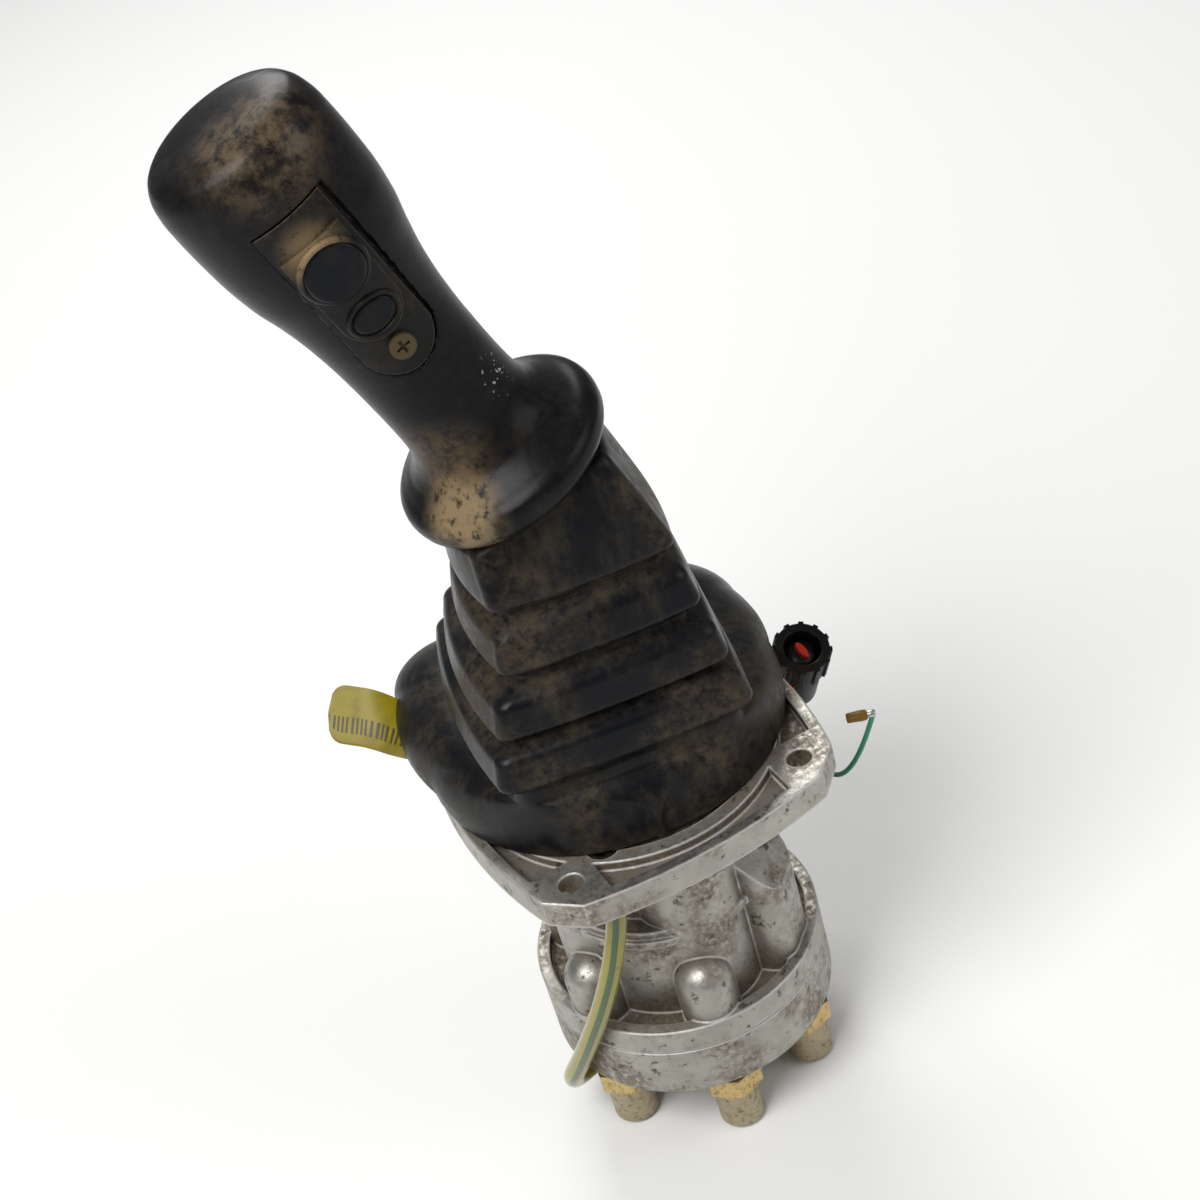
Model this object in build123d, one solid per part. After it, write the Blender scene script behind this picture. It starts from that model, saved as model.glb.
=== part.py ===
from build123d import *
import math
import os

os.makedirs("parts", exist_ok=True)

# Mounting flange. The origin is the centre of its top face, +Z runs up the valve's axis.
bolt_spacing = 85.0
bolt_hole_radius = 4.25
flange_thickness = 10.0
flange_half = 54.0
flange_bulge = 59.5
ear_chamfer = 10.0
flange_rim = 4.0
ear_pad = 21.0
pocket_depth = 3.5
ring_radius = 51.3
ring_inner = 46.0
recess_depth = 2.0

# Casing below the flange.
upper_body_radius = 30.0
lower_body_radius = 37.0
lower_body_top = -48.0
column_radius = 18.5
base_radius = 50.2
seam_z = -92.5
base_floor_z = -87.0
base_rim_z = -82.9
base_rim_width = 4.4
boss_radius = 10.0
boss_top_z = -62.0
saddle_width = 25.0
saddle_reach = 46.5
rib_step = 1.6
rib_height = 3.0

# Ports. The four work ports lie beside the spools; pressure and tank lie between them.
port_radius = 39.2
work_ports = {"front": -102.0, "right": 18.0, "rear": 78.0, "left": -162.0}
pressure_port = -48.0
tank_port = 132.0
thread_radius = 8.0
stem_radius = 6.6
adapter_groove = 2.2
adapter_chamfer = 1.4
port_drill = 5.0
plate_thickness = 21.8
gasket_thickness = 0.5
channel_width = 7.0
channel_depth = 6.0

# Pusher and spool columns.
pusher_angles = {"front": -90.0, "right": 0.0, "rear": 90.0, "left": 180.0}
pusher_circle = 22.0
pusher_radius = 4.5
running_clearance = 0.05
pivot_z = 16.0
cam_clearance = 0.3
bush_radius = 9.0
bush_top_z = 4.0
bush_bottom_z = -20.0
bush_neck_radius = 6.3
cavity_radius = 8.2
cavity_bottom_z = -58.0
guide_top_z = -28.5
guide_flange = 3.0
guide_radius = 7.6
guide_stem_radius = 2.4
guide_stem_bottom_z = -39.0
spool_radius = 4.0
spool_top_z = -50.0
spool_bottom_z = -84.0
return_wire = 0.9
return_coil_radius = 6.3
balance_wire = 0.5
balance_coil_radius = 3.3

# Universal joint, cam and lever.
pin_radius = 3.0
ear_inner = 9.5
ear_thickness = 4.0
ear_width = 10.0
cross_half = 7.0
yoke_base_radius = 11.0
yoke_post_radius = 6.0
cam_outer = 30.0
cam_inner = 16.0
cam_thickness = 4.2
stud_radius = 5.0
hub_z = 30.0
lock_nut_flats = 17.0
rod_radius = 7.0
rod_bend_z = 104.0
lean = 21.0
grip_turn = -4.0

# Boot: stepped rectangular tiers, turned slightly about the valve's axis.
boot_turn = -11.0
boot_wall = 2.0
soft_clearance = 0.3

# Harness.
sheath_radius = 3.5
wire_radius = 0.9
grommet_at = (-27.0, -35.0)
grommet_hole = 5.5
sheath_points = [
    (-27, -35, 3),
    (-27.2, -35.3, -24),
    (-38.5, -38.5, -50),
    (-50, -26, -86),
    (-59, -4, -125),
    (-16, 13, -128),
    (24, 26, -127),
    (57, 45, -107),
    (69, 37, -64),
    (71.5, 17, -25),
]
wire_points = [
    (69.35, 23.27, -45.88),
    (66, 8, -49),
    (70, -9, -41),
    (80, -14, -25.5),
]
connector_radius = 9.5
connector_length = 27.0


def rod(radius, low, high, x=0.0, y=0.0):
    return Pos(x, y, (low + high) / 2) * Cylinder(radius, high - low)


def pipe(outer, inner, low, high, x=0.0, y=0.0):
    return rod(outer, low, high, x, y) - rod(inner, low - 1, high + 1, x, y)


def block(x_size, y_size, low, high, x=0.0, y=0.0):
    return Pos(x, y, (low + high) / 2) * Box(x_size, y_size, high - low)


def polar(radius, angle):
    return radius * math.cos(math.radians(angle)), radius * math.sin(math.radians(angle))


def bolt_places(spacing=bolt_spacing):
    return [(x * spacing / 2, y * spacing / 2) for x in (-1, 1) for y in (-1, 1)]


def slot_between(start, end, width, low, high):
    middle = ((start[0] + end[0]) / 2, (start[1] + end[1]) / 2)
    length = math.dist(start, end)
    angle = math.degrees(math.atan2(end[1] - start[1], end[0] - start[0]))
    bar = Box(length, width, high - low) + Pos(length / 2, 0) * Cylinder(width / 2, high - low)
    bar += Pos(-length / 2, 0) * Cylinder(width / 2, high - low)
    return Pos(*middle, (low + high) / 2) * Rot(0, 0, angle) * bar


def save(name, *solids):
    shape = solids[0] if len(solids) == 1 else Compound(list(solids))
    export_step(shape, f"parts/{name}.step")
    print(name, len(shape.solids()), round(shape.volume, 1))


# The six drillings of the port plate and what they reach.
port_angles = list(work_ports.values()) + [pressure_port, tank_port]
plate_top_z = seam_z - gasket_thickness
plate_bottom_z = plate_top_z - plate_thickness
tank_drill_z = plate_top_z - 11.0
pressure_ring = 12.0
plate_bolts = [-132.0, -15.0, 48.0, 165.0]
plate_bolt_circle = 33.0
plate_bolt_radius = 3.0
dowels = [-75.0, 105.0]
dowel_circle = 43.0
dowel_radius = 2.0


# Casing.
def flange_outline():
    near = flange_half - ear_chamfer
    corners = [(near, -flange_half), (flange_half, -near), (flange_half, near), (near, flange_half)]
    corners += [(-x, -y) for x, y in corners]
    bulges = [None, (flange_bulge, 0), None, (0, flange_bulge), None, (-flange_bulge, 0), None, (0, -flange_bulge)]
    edges = Curve()
    for index, bulge in enumerate(bulges):
        start = corners[index]
        end = corners[(index + 1) % len(corners)]
        edges += Line(start, end) if bulge is None else ThreePointArc(start, bulge, end)
    return make_face(edges)


def saddle(angle):
    profile = [(18, -30), (31, -33), (41, -43), (saddle_reach, -52), (saddle_reach, base_floor_z), (18, base_floor_z)]
    side = Plane.XZ * make_face(Polyline(*profile, close=True))
    body = extrude(side, saddle_width / 2, both=True)
    upright = body.edges().filter_by(Axis.Z).group_by(Axis.X)[-1]
    body = fillet(upright, 8.0)
    return Rot(0, 0, angle) * body


def passages():
    cuts = [rod(4.0, plate_top_z, lower_body_top)]
    for angle in pusher_angles.values():
        x, y = polar(pusher_circle, angle)
        cuts.append(rod(bush_radius + running_clearance, bush_bottom_z, 1, x, y))
        cuts.append(rod(cavity_radius, cavity_bottom_z, bush_bottom_z + 1, x, y))
        cuts.append(rod(spool_radius + running_clearance, plate_top_z, cavity_bottom_z + 1, x, y))
        cuts.append(rod(1.8, plate_top_z, -70, *polar(pressure_ring, angle)))
        cuts.append(Rot(0, 0, angle) * Pos(17, 0, -71) * Rot(0, 90, 0) * Cylinder(1.6, 10))
        cuts.append(Rot(0, 0, angle) * Pos(11, 0, -53) * Rot(0, 90, 0) * Cylinder(2.0, 17))
    return cuts


def casing():
    outline = flange_outline()
    flange = Pos(0, 0, -flange_thickness) * extrude(outline, flange_thickness)
    pocket = Pos(0, 0, -pocket_depth) * extrude(offset(outline, -flange_rim), pocket_depth + 1)
    pocket -= rod(ring_radius, -pocket_depth - 1, 2)
    for x in (-1, 1):
        for y in (-1, 1):
            pad = flange_half - ear_pad / 2
            pocket -= block(ear_pad, ear_pad, -pocket_depth - 1, 2, x * pad, y * pad)
    body = flange - pocket
    body += rod(upper_body_radius, lower_body_top - 1, -flange_thickness + 1)
    body += rod(lower_body_radius, base_floor_z - 1, lower_body_top)
    body += rod(lower_body_radius + rib_step, lower_body_top - 2 * rib_height, lower_body_top - rib_height)
    body += rod(base_radius, seam_z, base_floor_z)
    body += pipe(base_radius, base_radius - base_rim_width, base_floor_z - 1, base_rim_z)
    for angle in pusher_angles.values():
        body += rod(column_radius, base_floor_z - 1, -flange_thickness + 1, *polar(pusher_circle, angle))
    for angle in work_ports.values():
        x, y = polar(port_radius, angle)
        body += rod(boss_radius, base_floor_z - 1, boss_top_z - boss_radius, x, y)
        body += Pos(x, y, boss_top_z - boss_radius) * Sphere(boss_radius)
    body += saddle(pressure_port)
    body += saddle(tank_port)
    body -= rod(ring_inner, -recess_depth, 1)
    body -= rod(yoke_post_radius + running_clearance, -16, 0)
    body -= rod(grommet_hole, -flange_thickness - 1, 1, *grommet_at)
    body -= Rot(0, 0, -128) * Pos(31, 0, -38) * Rot(0, 90, 0) * Cylinder(3.5, 14)
    for place in bolt_places():
        body -= rod(bolt_hole_radius, -flange_thickness - 1, 1, *place)
    for cut in passages():
        body -= cut
    for angle in plate_bolts:
        body -= rod(plate_bolt_radius, seam_z - 1, seam_z + 15, *polar(plate_bolt_circle, angle))
    for angle in dowels:
        body -= rod(dowel_radius, seam_z - 1, seam_z + 4.5, *polar(dowel_circle, angle))
    return body


save("casing", casing())


# Port plate with its gasket, bolts, dowels and adapters.
def port_channels(low, high):
    cuts = []
    for side, angle in work_ports.items():
        spool = polar(pusher_circle, pusher_angles[side])
        cuts.append(slot_between(spool, polar(port_radius, angle), channel_width, low, high))
    cuts.append(slot_between(polar(pressure_ring, pressure_port), polar(port_radius, pressure_port), channel_width, low, high))
    cuts.append(pipe(pressure_ring + 2, pressure_ring - 2, low, high))
    return cuts


def port_plate():
    body = rod(base_radius, plate_bottom_z, plate_top_z)
    body = fillet(body.edges().sort_by(Axis.Z)[0], 3.5)
    for cut in port_channels(plate_top_z - channel_depth, plate_top_z + 1):
        body -= cut
    for angle in port_angles:
        x, y = polar(port_radius, angle)
        body -= rod(stem_radius + running_clearance, plate_bottom_z - 1, plate_bottom_z + 13, x, y)
        top = tank_drill_z if angle == tank_port else plate_top_z - channel_depth + 0.5
        body -= rod(port_drill, plate_bottom_z, top, x, y)
    body -= rod(4.0, tank_drill_z - 3, plate_top_z + 1)
    reach = port_radius / 2
    body -= Rot(0, 0, tank_port) * Pos(reach, 0, tank_drill_z) * Rot(0, 90, 0) * Cylinder(3.0, port_radius)
    for angle in plate_bolts:
        x, y = polar(plate_bolt_circle, angle)
        body -= rod(plate_bolt_radius + 0.3, plate_bottom_z - 1, plate_top_z + 1, x, y)
        body -= rod(5.5, plate_bottom_z - 1, plate_bottom_z + 6.5, x, y)
    for angle in dowels:
        body -= rod(dowel_radius, plate_top_z - 5.5, plate_top_z + 1, *polar(dowel_circle, angle))
    return body


def port_gasket():
    body = rod(base_radius - 0.6, plate_top_z, seam_z)
    for cut in port_channels(plate_top_z - 1, seam_z + 1):
        body -= cut
    body -= rod(4.0, plate_top_z - 1, seam_z + 1)
    for angle in plate_bolts:
        body -= rod(plate_bolt_radius + 0.3, plate_top_z - 1, seam_z + 1, *polar(plate_bolt_circle, angle))
    for angle in dowels:
        body -= rod(dowel_radius + 0.1, plate_top_z - 1, seam_z + 1, *polar(dowel_circle, angle))
    return body


def plate_bolt(angle):
    x, y = polar(plate_bolt_circle, angle)
    seat = plate_bottom_z + 6.5
    bolt = rod(plate_bolt_radius, seat, seam_z + 13, x, y) + rod(5.0, seat - 6, seat, x, y)
    socket = Pos(x, y, seat - 6) * extrude(RegularPolygon(2.9, 6), 3)
    return bolt - socket


hex_flats = 19.0
hex_height = 8.0
adapter_bottom_z = -141.5


def adapter(angle):
    x, y = polar(port_radius, angle)
    seat = plate_bottom_z
    body = rod(thread_radius, adapter_bottom_z, seat - hex_height, x, y)
    body = chamfer(body.edges().sort_by(Axis.Z)[0], adapter_chamfer)
    nut = extrude(RegularPolygon(hex_flats / 2, 6, major_radius=False), hex_height)
    body += Pos(x, y, seat - hex_height) * Rot(0, 0, angle) * nut
    body += rod(stem_radius, seat, seat + 12, x, y)
    body -= rod(port_drill - 0.5, adapter_bottom_z - 1, seat + 13, x, y)
    nut_bottom = seat - hex_height
    groove = pipe(thread_radius + 1, thread_radius - 1.3, nut_bottom - adapter_groove, nut_bottom, x, y)
    seal_groove = pipe(stem_radius + 0.01, stem_radius - 1.5, seat, seat + 2.4, x, y)
    return body - groove - seal_groove


def ring_seal(radius, section, z, x=0.0, y=0.0):
    return Pos(x, y, z) * Torus(radius, section)


save("port_plate", port_plate())
save("port_gasket", port_gasket())
save("port_plate_bolts", *[plate_bolt(angle) for angle in plate_bolts])
save("locating_pins", *[rod(dowel_radius, plate_top_z - 5, seam_z + 4, *polar(dowel_circle, a)) for a in dowels])
save("port_adapters", *[adapter(angle) for angle in port_angles])
save(
    "adapter_seals",
    *[ring_seal(stem_radius - 0.75, 0.7, plate_bottom_z + 1.2, *polar(port_radius, a)) for a in port_angles],
)


# Retainer plate, bushes and seals over the four columns.
retainer_radius = 36.0
retainer_top_z = 1.0


def retainer_plate():
    body = rod(retainer_radius, -recess_depth, retainer_top_z)
    body -= rod(yoke_post_radius + 0.2, -recess_depth - 1, retainer_top_z + 1)
    for angle in pusher_angles.values():
        body -= rod(bush_neck_radius + 0.1, -recess_depth - 1, retainer_top_z + 1, *polar(pusher_circle, angle))
    for angle in (45, 135, 225, 315):
        body -= Rot(0, 0, angle) * Pos(34, 0, 0) * Cylinder(5, 10)
    return body


def bush(angle):
    x, y = polar(pusher_circle, angle)
    body = rod(bush_radius, bush_bottom_z, -recess_depth, x, y) + rod(bush_neck_radius, -recess_depth, bush_top_z, x, y)
    body -= rod(pusher_radius + running_clearance, bush_bottom_z - 1, bush_top_z + 1, x, y)
    body -= rod(5.9, bush_top_z - 2.6, bush_top_z + 1, x, y)
    return body - pipe(bush_radius + 1, bush_radius - 1.6, -13.2, -10.8, x, y)


save("retainer_plate", retainer_plate())
save("pusher_bushes", *[bush(a) for a in pusher_angles.values()])
save("bush_seals", *[ring_seal(bush_radius - 0.8, 0.75, -12, *polar(pusher_circle, a)) for a in pusher_angles.values()])
save(
    "wiper_seals",
    *[
        pipe(5.8, pusher_radius + 0.08, bush_top_z - 2.5, bush_top_z + 0.4, *polar(pusher_circle, a))
        for a in pusher_angles.values()
    ],
)


# Pushers, spring guides, springs and spools, one set per column.
def pusher(angle):
    x, y = polar(pusher_circle, angle)
    body = rod(pusher_radius, guide_top_z, pivot_z, x, y)
    return body + Pos(x, y, pivot_z) * Sphere(pusher_radius)


def spring_guide(angle):
    x, y = polar(pusher_circle, angle)
    low = guide_top_z - guide_flange
    body = rod(guide_radius, low, guide_top_z, x, y) + rod(4.6, low - 2.5, low, x, y)
    body += rod(guide_stem_radius, guide_stem_bottom_z, low - 2, x, y)
    return body


def spool(angle):
    x, y = polar(pusher_circle, angle)
    body = rod(spool_radius, spool_bottom_z, cavity_bottom_z + 2, x, y)
    nose = balance_coil_radius - balance_wire - 0.5
    body += rod(nose, cavity_bottom_z + 2, spool_top_z + 1.5, x, y) + rod(4.6, spool_top_z - 1.5, spool_top_z, x, y)
    for low in (-66, -76):
        body -= pipe(spool_radius + 1, spool_radius - 1.1, low, low + 3.5, x, y)
    return body - rod(1.6, spool_bottom_z - 1, -72, x, y)


def coil(radius, wire, low, high, turns, angle):
    height = high - low - 2 * wire
    path = Helix(height / turns, height, radius)
    section = Plane(path @ 0, z_dir=path % 0) * Circle(wire)
    return Pos(*polar(pusher_circle, angle), low + wire) * sweep(section, path, is_frenet=True)


for side, angle in pusher_angles.items():
    guide_low = guide_top_z - guide_flange
    save(f"pusher_{side}", pusher(angle))
    save(f"spring_guide_{side}", spring_guide(angle))
    save(f"return_spring_{side}", coil(return_coil_radius, return_wire, cavity_bottom_z + 0.02, guide_low - 0.02, 6, angle))
    save(f"balance_spring_{side}", coil(balance_coil_radius, balance_wire, spool_top_z + 0.02, guide_low - 2.52, 6, angle))
    save(f"spool_{side}", spool(angle))


# Universal joint.
ear_outer = ear_inner + ear_thickness


def lower_yoke():
    body = rod(yoke_post_radius, -15, retainer_top_z + 1) + rod(yoke_base_radius, retainer_top_z, pivot_z - 11.5)
    for side in (-1, 1):
        middle = side * (ear_inner + ear_thickness / 2)
        body += block(ear_thickness, ear_width, retainer_top_z + 0.5, pivot_z, middle)
        body += Pos(middle, 0, pivot_z) * Rot(0, 90, 0) * Cylinder(ear_width / 2, ear_thickness)
        body += block(2 * ear_thickness, ear_width, retainer_top_z, pivot_z - 11.5, side * (ear_outer - ear_thickness))
    return body - Pos(0, 0, pivot_z) * Rot(0, 90, 0) * Cylinder(pin_radius + running_clearance, 60)


def joint_cross():
    body = Pos(0, 0, pivot_z) * Box(2 * cross_half, 2 * cross_half, 1.5 * cross_half)
    body += Pos(0, 0, pivot_z) * Rot(0, 90, 0) * Cylinder(pin_radius, 2 * ear_outer)
    body += Pos(0, 0, pivot_z) * Rot(90, 0, 0) * Cylinder(pin_radius, 2 * ear_outer)
    return body


upper_yoke_base = pivot_z + 11.5


def upper_yoke():
    body = rod(14.0, upper_yoke_base, hub_z) + rod(stud_radius, hub_z, hub_z + 26)
    for side in (-1, 1):
        middle = side * (ear_inner + ear_thickness / 2)
        body += block(ear_width, ear_thickness, pivot_z, upper_yoke_base + 0.5, 0, middle)
        body += Pos(0, middle, pivot_z) * Rot(90, 0, 0) * Cylinder(ear_width / 2, ear_thickness)
    return body - Pos(0, 0, pivot_z) * Rot(90, 0, 0) * Cylinder(pin_radius + running_clearance, 60)


def cam_disc():
    low = pivot_z + pusher_radius + cam_clearance
    profile = [
        (cam_inner, low),
        (cam_outer - 1, low),
        (cam_outer, low + 1),
        (cam_outer, low + cam_thickness),
        (cam_inner + 6, low + cam_thickness),
        (14.5, hub_z + 4),
        (stud_radius + running_clearance, hub_z + 4),
        (stud_radius + running_clearance, hub_z),
        (14.4, hub_z),
        (cam_inner, hub_z - 3),
    ]
    return revolve(Plane.XZ * make_face(Polyline(*profile, close=True)), Axis.Z)


def lock_nut():
    nut = Pos(0, 0, hub_z + 4) * extrude(RegularPolygon(lock_nut_flats / 2, 6, major_radius=False), 6)
    return nut - rod(stud_radius + running_clearance, hub_z, hub_z + 20)


save("lower_yoke", lower_yoke())
save("joint_cross", joint_cross())
save("upper_yoke", upper_yoke())
save("cam_disc", cam_disc())
save("lock_nut", lock_nut())

# Lever rod, bent towards the grip.
grip_frame = Rot(0, 0, grip_turn)
lean_x = math.sin(math.radians(lean))
lean_z = math.cos(math.radians(lean))


def along_grip(distance):
    return -distance * lean_x, 0.0, rod_bend_z + distance * lean_z


rod_top = 56.0


def lever_rod():
    path = FilletPolyline((0, 0, hub_z + 10), (0, 0, rod_bend_z), along_grip(rod_top), radius=60)
    body = sweep(Plane(path @ 0, z_dir=path % 0) * Circle(rod_radius), path)
    body += rod(9.0, hub_z + 10, hub_z + 28)
    body -= rod(stud_radius + running_clearance, hub_z + 9, hub_z + 27)
    return grip_frame * body


save("lever_rod", lever_rod())


# Grip: one lofted form from the flared skirt to the blunt head, split behind its middle.
# Each station is the distance along the grip, shift to the right, half width, half depth and tilt.
skirt_stations = [
    (14.0, 0, 30.0, 30.0, 9.0),
    (18.0, 0, 33.0, 33.0, 9.5),
    (23.0, 0, 33.4, 33.4, 10.0),
    (28.0, 0, 31.0, 31.0, 12.0),
    (33.0, 0, 26.0, 26.0, 15.0),
    (38.5, 0.2, 22.0, 22.0, 18.0),
    (45.0, 0.4, 20.0, 19.8, lean),
]
grip_stations = [
    (54.0, 0.4, 19.7, 19.4, lean),
    (66.0, 0.4, 19.6, 19.2, lean),
    (80.0, 0.5, 20.0, 19.4, lean),
    (94.0, 0.7, 21.2, 20.2, lean),
    (107.0, 1.0, 23.4, 21.6, lean),
    (118.0, 1.2, 25.9, 23.4, lean),
    (130.0, 1.3, 27.1, 24.8, lean),
    (142.0, 1.3, 27.3, 25.2, lean),
    (151.0, 1.3, 27.0, 24.6, lean),
    (157.5, 1.3, 24.8, 22.2, lean),
    (161.5, 1.3, 21.0, 18.6, lean),
    (164.0, 1.3, 14.5, 12.0, lean),
]
parting_y = 5.0


def grip_section(distance, shift, across, deep, tilt):
    x, y, z = along_grip(distance)
    right = (math.cos(math.radians(tilt)), 0, math.sin(math.radians(tilt)))
    origin = (x + shift * right[0], y, z + shift * right[2])
    return Plane(origin=origin, x_dir=right, z_dir=(-right[2], 0, right[0])) * Ellipse(across, deep)


def grip_form(growth, stations):
    sections = [grip_section(d, s, a + growth, w + growth, t) for d, s, a, w, t in stations[:-1]]
    d, s, a, w, t = stations[-1]
    sections.append(grip_section(d + growth, s, a + growth, w + growth, t))
    return loft(sections)


shell_wall = 3.2
grip_outer = grip_form(0, skirt_stations + grip_stations)
grip_inner = grip_form(-shell_wall, grip_stations[1:])


def plate_prism(low, high, half_width, half_width_foot, y_low, y_high):
    start = along_grip(low)
    plane = Plane(origin=(start[0], 0, start[2]), x_dir=(lean_z, 0, lean_x), z_dir=(0, -1, 0))
    length = high - low
    outline = make_face(
        Curve()
        + Line((-half_width, length), (half_width, length))
        + Line((half_width, length), (half_width, half_width_foot))
        + ThreePointArc((half_width, half_width_foot), (0, 0), (-half_width, half_width_foot))
        + Line((-half_width, half_width_foot), (-half_width, length))
    )
    return plane * Pos(0, 0, -y_high) * extrude(outline, y_high - y_low)


plate_low = 79.0
plate_high = 143.0
plate_half = 11.5
plate_gap = 0.2
plate_thick = 2.6
button_axes = {"round": 122.0, "oval": 102.5}
button_clearance = 0.1
round_radius = 8.8
oval_half = (6.6, 5.0)


def button_form(name, growth, low, high):
    x, _, z = along_grip(button_axes[name])
    plane = Plane(origin=(x, 0, z), x_dir=(lean_z, 0, lean_x), z_dir=(0, -1, 0))
    face = Circle(round_radius + growth) if name == "round" else Ellipse(oval_half[0] + growth, oval_half[1] + growth)
    return plane * Pos(0, 0, low) * extrude(face, high - low)


screw_at = 88.5


back_low = 56.0
back_screws = [60.5, 150.5]
back_screw_radius = 1.7
back_screw_head = 3.2


def across(distance, radius, low, high):
    x, _, z = along_grip(distance)
    plane = Plane(origin=(x, 0, z), x_dir=(lean_z, 0, lean_x), z_dir=(0, -1, 0))
    return plane * Pos(0, 0, (low + high) / 2) * Cylinder(radius, high - low)


def surface_depth(distance):
    for below, above in zip(grip_stations, grip_stations[1:]):
        if below[0] <= distance <= above[0]:
            share = (distance - below[0]) / (above[0] - below[0])
            return below[3] * (1 - share) + above[3] * share
    return grip_stations[-1][3]


def rod_socket():
    path = FilletPolyline((0, 0, hub_z + 30), (0, 0, rod_bend_z), along_grip(rod_top + 1), radius=60)
    return sweep(Plane(path @ 0, z_dir=path % 0) * Circle(rod_radius + running_clearance), path)


def skirt_hollow():
    hollow = grip_form(-3.5, skirt_stations[:4])
    cut = grip_section(13.0, 0, 26.8, 26.8, 9.0)
    return hollow + extrude(cut, 3, both=True)


def grip_body():
    shell = grip_outer - grip_inner - skirt_hollow()
    shell -= rod_socket()
    shell += across(back_screws[1], 4.2, -parting_y, surface_depth(back_screws[1]) - 1.5)
    shell -= plate_prism(back_low, 200, 60, 1, parting_y, 60)
    shell -= plate_prism(plate_low - plate_gap, plate_high + plate_gap, plate_half + plate_gap, 9, -60, -11.0)
    for distance in back_screws:
        shell -= across(distance, back_screw_radius, -parting_y - 1, 8)
    return shell


def grip_back():
    rear = plate_prism(back_low + 0.2, 200, 60, 1, parting_y + 0.05, 60)
    shell = (grip_outer - grip_inner) & rear
    for distance in back_screws:
        depth = surface_depth(distance)
        shell += across(distance, 4.2, 2.0 - depth, -parting_y - 0.05)
        shell -= across(distance, back_screw_radius, -60, 0)
        shell -= across(distance, back_screw_head + 0.1, -60, 3.0 - depth)
    return shell - rod_socket()


def back_screw(distance):
    seat = 3.0 - surface_depth(distance)
    screw = across(distance, back_screw_head, seat - 1.8, seat) + across(distance, back_screw_radius, seat, 7)
    x, _, z = along_grip(distance)
    plane = Plane(origin=(x, 0, z), x_dir=(lean_z, 0, lean_x), z_dir=(0, -1, 0))
    cross = Box(3.6, 0.8, 2.0) + Box(0.8, 3.6, 2.0)
    return screw - plane * Pos(0, 0, seat - 1.8) * cross


def switch_plate():
    plate = (grip_outer & plate_prism(plate_low, plate_high, plate_half, 9, -60, -14.5))
    plate -= grip_form(-plate_thick, grip_stations)
    for name in button_axes:
        plate -= button_form(name, button_clearance, 0, 60)
    plate -= across(screw_at, 4.1, surface_depth(screw_at), 60)
    return plate - across(screw_at, 2.1, 0, 60)


def button_pad():
    pad = grip_form(1.3, grip_stations) & plate_prism(94.5, 133.0, 9.8, 8, -60, -14.5)
    pad -= grip_outer
    for name in button_axes:
        pad -= button_form(name, button_clearance, 0, 60)
    return pad


button_rise = {"round": 2.6, "oval": 1.7}


def button(name, cap_top):
    stem = button_form(name, 0, cap_top - 6.5, cap_top)
    crown = fillet(stem.faces().sort_by(Axis.Y)[0].edges(), 1.2)
    return crown


def plate_screw():
    depth = surface_depth(screw_at)
    head = across(screw_at, 3.9, depth, depth + 1.7) + across(screw_at, 2.0, depth - 9, depth)
    x, _, z = along_grip(screw_at)
    plane = Plane(origin=(x, 0, z), x_dir=(lean_z, 0, lean_x), z_dir=(0, -1, 0))
    cross = Box(4.4, 0.9, 2.4) + Box(0.9, 4.4, 2.4)
    return head - plane * Pos(0, 0, depth + 1.7) * cross


def switch_block(name):
    # The switch stands on a bridge whose two legs reach the underside of the switch plate.
    depth = surface_depth(button_axes[name]) + button_rise[name] - 6.5 - 3.2
    x, _, z = along_grip(button_axes[name])
    plane = Plane(origin=(x, 0, z), x_dir=(lean_z, 0, lean_x), z_dir=(0, -1, 0))
    leg_x = (round_radius if name == "round" else oval_half[0]) + 1.2
    body = Pos(0, 0, depth - 4) * Box(13, 8.5, 8)
    body += Pos(0, 0, depth - 7) * Box(2 * leg_x + 1.8, 8.5, 2)
    for side in (-leg_x, leg_x):
        body += Pos(side, 0, depth + 1.5) * Box(1.8, 8.5, 19)
    return (plane * body) & grip_form(-plate_thick - 0.1, grip_stations)


save("grip_body", grip_frame * grip_body())
save("grip_back", grip_frame * grip_back())
save("switch_plate", grip_frame * switch_plate())
save("button_pad", grip_frame * button_pad())
for name in button_axes:
    save(f"{name}_button", grip_frame * button(name, surface_depth(button_axes[name]) + button_rise[name]))
save("plate_screw", grip_frame * plate_screw())
save("grip_screws", *[grip_frame * back_screw(distance) for distance in back_screws])
save("switches", *[grip_frame * switch_block(name) for name in button_axes])


# Boot. Each level is z, left, right, front, rear, front corner radius, rear corner radius.
boot_levels = [
    (0.7, -62.5, 54.0, -54.0, 67.0, 52.0, 34.0),
    (5.0, -64.0, 55.5, -55.5, 68.5, 53.5, 35.0),
    (11.5, -59.0, 51.0, -51.0, 63.5, 49.0, 30.0),
    (18.0, -49.0, 43.5, -42.0, 52.5, 30.0, 20.0),
    (25.0, -41.0, 36.0, -36.0, 44.5, 6.0, 6.0),
    (34.7, -45.0, 40.0, -40.0, 48.6, 5.0, 5.0),
    (44.5, -43.4, 38.4, -38.4, 46.4, 5.0, 5.0),
    (47.5, -36.0, 32.0, -32.0, 36.5, 5.0, 5.0),
    (51.6, -40.2, 36.6, -36.6, 39.2, 5.0, 5.0),
    (62.0, -38.2, 35.0, -35.0, 37.0, 5.0, 5.0),
    (66.5, -28.6, 28.0, -28.0, 29.0, 4.5, 4.5),
    (72.4, -33.2, 32.9, -32.9, 33.4, 4.5, 4.5),
    (83.0, -31.6, 31.2, -31.2, 31.4, 4.5, 4.5),
    (87.5, -25.4, 25.2, -25.2, 25.6, 4.0, 4.0),
    (94.0, -30.2, 29.9, -29.9, 30.0, 4.0, 4.0),
]


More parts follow.
